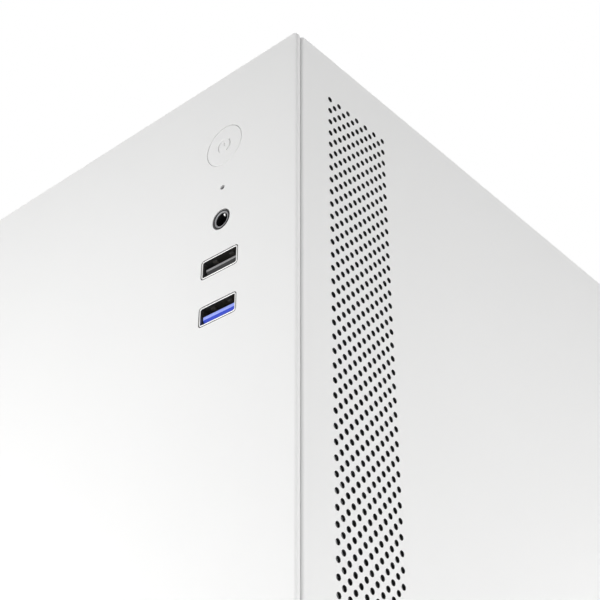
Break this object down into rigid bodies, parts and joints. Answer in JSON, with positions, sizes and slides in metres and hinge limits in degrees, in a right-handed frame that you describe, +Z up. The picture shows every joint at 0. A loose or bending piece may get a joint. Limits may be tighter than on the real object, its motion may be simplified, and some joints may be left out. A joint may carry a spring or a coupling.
{
  "type": "desktop computer tower",
  "caption": "White steel mini tower computer with a corner column of front sockets, slide-off vented side panels, and its board, supply, fans and drives inside.",
  "frame": {"origin": "middle of the underside, on the surface the feet stand on; the thumbscrew heads count in the depth", "axes": "+Z up, -Y out of the front panel, +X to the right of someone facing the front"},
  "size_m": [0.19, 0.3574, 0.387],
  "materials": {
    "white_steel": "smooth satin powder coat, white",
    "white_front": "smooth satin white",
    "white_button": "smooth satin white",
    "zinc_steel": "galvanised sheet, dull with faint spangle",
    "bright_steel": "bright nickel plated",
    "aluminium": "extruded, satin",
    "cast_aluminium": "cast, fine grain",
    "black_paint": "fine textured black powder coat",
    "black_plastic": "moulded, fine texture",
    "grey_plastic": "moulded",
    "blue_plastic": "moulded, bright blue",
    "circuit_board": "dark solder mask with pale traces",
    "memory_board": "green solder mask, black chips",
    "smoked_plastic": "smoked translucent",
    "rubber": "matt",
    "cable_sleeve": "soft PVC, dull"
  },
  "bodies": {
    "case": {"top_cover": "white_steel", "chassis_base": "white_steel", "chassis_rear": "white_steel", "psu_shroud": "white_steel", "chassis_front": "zinc_steel", "motherboard_tray": "zinc_steel", "drive_cage": "zinc_steel", "power_button_spring": "bright_steel", "usb2_shell": "bright_steel", "usb3_shell": "bright_steel", "rear_fan_guard": "bright_steel", "psu_fan_guard": "bright_steel", "cpu": "bright_steel", "rear_ports": "bright_steel", "io_shield": "bright_steel", "slot_cover_1": "bright_steel", "slot_cover_2": "bright_steel", "slot_cover_3": "bright_steel", "slot_cover_4": "bright_steel", "cpu_heatsink": "aluminium", "hard_drive": "cast_aluminium", "psu_case": "black_paint", "solid_state_drive": "black_paint", "power_switch_body": "black_plastic", "audio_jack": "black_plastic", "psu_inlet": "black_plastic", "front_fan_frame": "black_plastic", "rear_fan_frame": "black_plastic", "cpu_fan_frame": "black_plastic", "psu_fan_frame": "black_plastic", "usb2_tongue": "grey_plastic", "usb3_tongue": "blue_plastic", "motherboard": "circuit_board", "front_io_board": "circuit_board", "psu_electronics": "circuit_board", "ram_module_1": "memory_board", "ram_module_2": "memory_board", "power_led": "smoked_plastic", "foot_front_left": "rubber", "foot_front_right": "rubber", "foot_rear_left": "rubber", "foot_rear_right": "rubber", "atx_power_cable": "cable_sleeve", "cpu_power_cable": "cable_sleeve", "front_panel_cable": "cable_sleeve"},
    "front_panel": {"front_panel": "white_front"},
    "right_side_panel": {"right_side_panel": "white_steel", "thumbscrew_right_lower": "white_steel", "thumbscrew_right_upper": "white_steel"},
    "left_side_panel": {"left_side_panel": "white_steel", "thumbscrew_left_lower": "white_steel", "thumbscrew_left_upper": "white_steel"},
    "power_button": {"power_button_cap": "white_button", "power_switch_plunger": "grey_plastic"},
    "front_fan_rotor": {"front_fan_rotor": "black_plastic"},
    "rear_fan_rotor": {"rear_fan_rotor": "black_plastic"},
    "cpu_fan_rotor": {"cpu_fan_rotor": "black_plastic"},
    "psu_fan_rotor": {"psu_fan_rotor": "black_plastic"},
    "psu_rocker": {"psu_rocker": "black_plastic"},
    "dust_filter": {"dust_filter": "black_plastic"}
  },
  "joints": [
    {"name": "power_button_press", "type": "slide", "parent": "case", "child": "power_button", "axis": [0, 1, 0], "range_m": [0, 0.0012], "stiffness_N_per_m": 900, "springref_m": -0.0006, "deforming": ["power_button_spring"]},
    {"name": "front_panel_pull", "type": "slide", "parent": "case", "child": "front_panel", "axis": [0, -1, 0], "range_m": [0, 0.06]},
    {"name": "right_side_panel_slide", "type": "slide", "parent": "case", "child": "right_side_panel", "axis": [0, 1, 0], "range_m": [0, 0.36]},
    {"name": "left_side_panel_slide", "type": "slide", "parent": "case", "child": "left_side_panel", "axis": [0, 1, 0], "range_m": [0, 0.36]},
    {"name": "dust_filter_slide", "type": "slide", "parent": "case", "child": "dust_filter", "axis": [0, 1, 0], "range_m": [0, 0.185]},
    {"name": "front_fan_spin", "type": "hinge", "parent": "case", "child": "front_fan_rotor", "pos_m": [0, -0.12395, 0.2898], "axis": [0, 1, 0], "continuous": true},
    {"name": "rear_fan_spin", "type": "hinge", "parent": "case", "child": "rear_fan_rotor", "pos_m": [-0.032, 0.15655, 0.313], "axis": [0, 1, 0], "continuous": true},
    {"name": "cpu_fan_spin", "type": "hinge", "parent": "case", "child": "cpu_fan_rotor", "pos_m": [0.01215, 0.07475, 0.289], "axis": [1, 0, 0], "continuous": true},
    {"name": "psu_fan_spin", "type": "hinge", "parent": "case", "child": "psu_fan_rotor", "pos_m": [0, 0.09905, 0.0291], "axis": [0, 0, 1], "continuous": true},
    {"name": "psu_rocker_tilt", "type": "hinge", "parent": "case", "child": "psu_rocker", "pos_m": [-0.05, 0.16705, 0.0395], "axis": [1, 0, 0], "range_deg": [-16, 0]}
  ]
}
